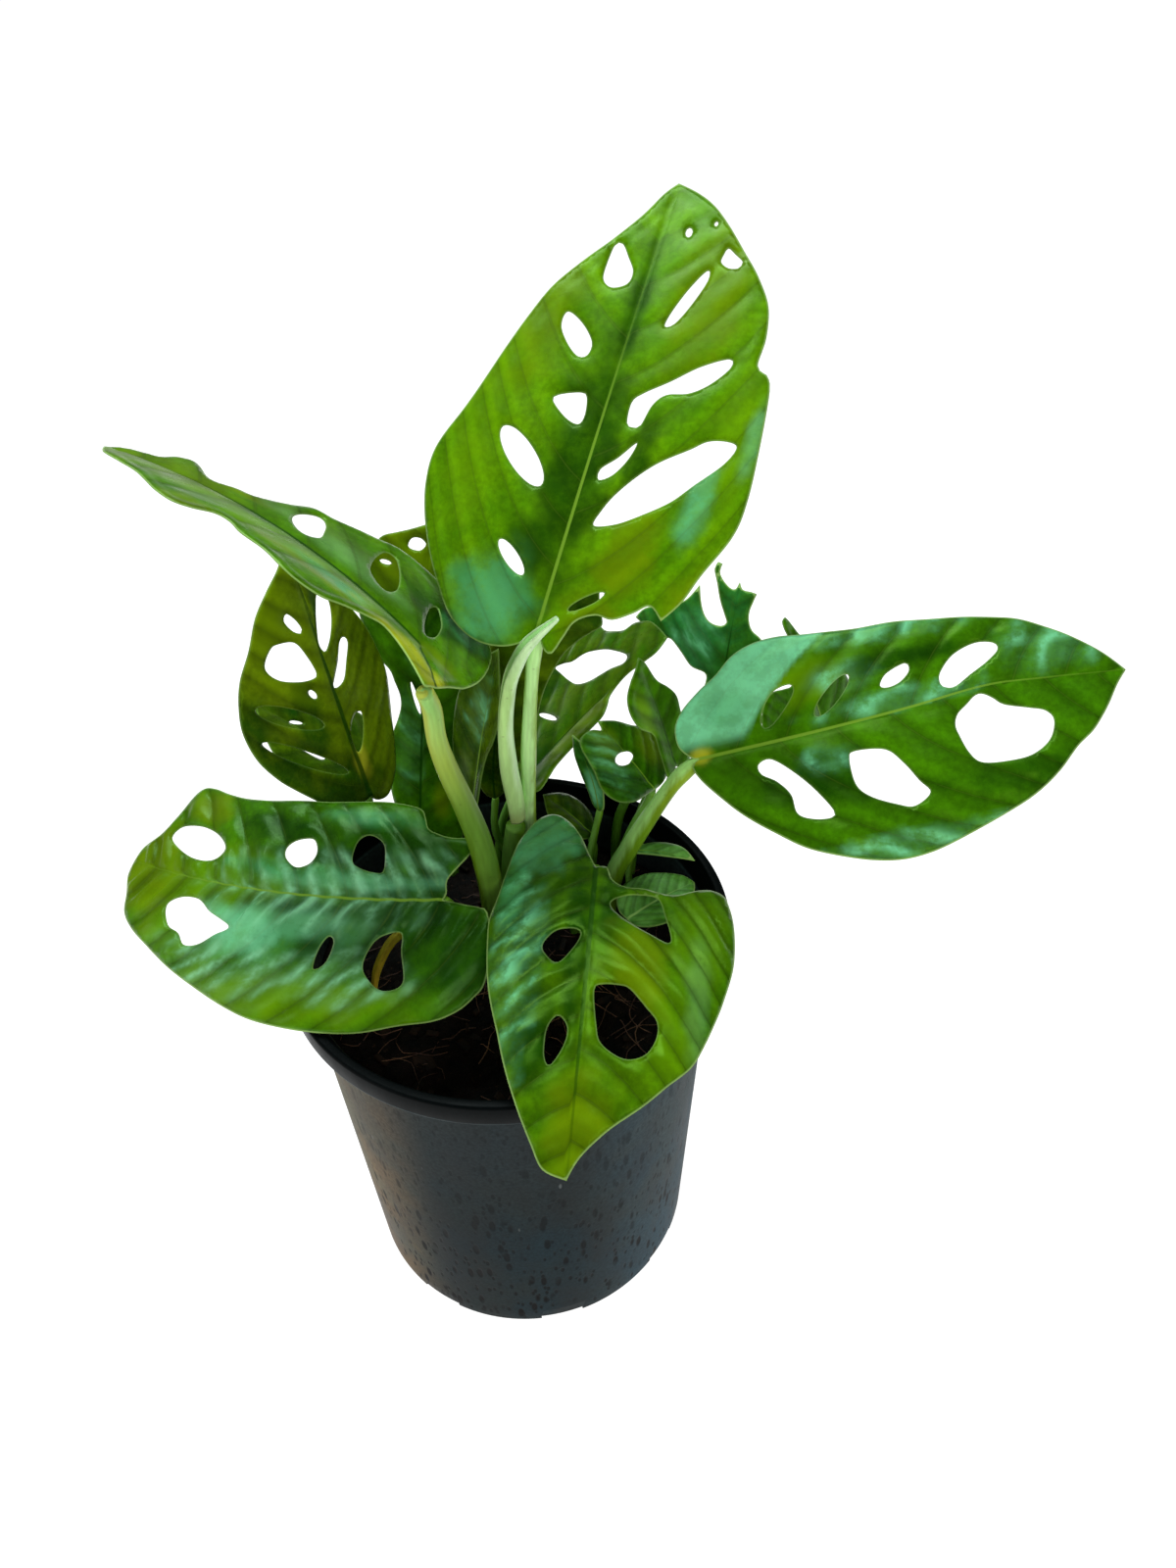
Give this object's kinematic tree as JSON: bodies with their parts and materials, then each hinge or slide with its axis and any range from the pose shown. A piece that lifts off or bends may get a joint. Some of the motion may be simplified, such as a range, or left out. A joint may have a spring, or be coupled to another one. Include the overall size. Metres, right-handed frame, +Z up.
{
  "type": "potted monkey mask monstera",
  "caption": "Young bushy houseplant with glossy holed leaves on green stalks, standing in soil in a round black nursery pot.",
  "frame": {"origin": "centre of the pot's flat base, where it stands", "axes": "+Z up along the pot's axis; the side seen in the picture faces -Y, with +X to its right"},
  "size_m": [0.3031, 0.205, 0.3321],
  "materials": {
    "pot": "satin black moulded plastic with fine pits",
    "soil": "dark damp potting mix of bark, peat and coir fibres",
    "leaf": "glossy mottled green blade with a thin pale margin",
    "shade_leaf": "glossy dark olive green blade",
    "stalk": "smooth yellow-green stalk, faintly ribbed",
    "sheath": "thin pale green sheath, dry at its edges",
    "dry_stalk": "old yellowed leaf stalk"
  },
  "bodies": {
    "root": {"pot": "pot", "soil": "soil", "stem": "stalk", "sheath_leaf": "sheath", "yellow_stalk": "dry_stalk", "leaf_crown": "leaf", "leaf_right": "leaf", "leaf_front": "leaf", "leaf_low": "leaf", "leaf_wing": "leaf", "leaf_lobed": "leaf", "leaf_slim": "leaf", "leaf_blade": "leaf", "leaf_curled": "leaf", "leaf_back": "shade_leaf", "leaf_rear": "shade_leaf", "leaf_tall": "shade_leaf", "leaf_mid": "shade_leaf", "leaf_shade": "shade_leaf", "leaf_nook": "shade_leaf", "leaf_holed": "shade_leaf", "leaf_small": "shade_leaf", "leaf_under": "shade_leaf", "leaf_far": "shade_leaf", "petiole_crown": "stalk", "petiole_right": "stalk", "petiole_front": "stalk", "petiole_low": "stalk", "petiole_wing": "stalk", "petiole_lobed": "stalk", "petiole_slim": "stalk", "petiole_blade": "stalk", "petiole_curled": "stalk", "petiole_back": "stalk", "petiole_rear": "stalk", "petiole_tall": "stalk", "petiole_mid": "stalk", "petiole_shade": "stalk", "petiole_nook": "stalk", "petiole_holed": "stalk", "petiole_small": "stalk", "petiole_under": "stalk", "petiole_far": "stalk"}
  },
  "joints": []
}
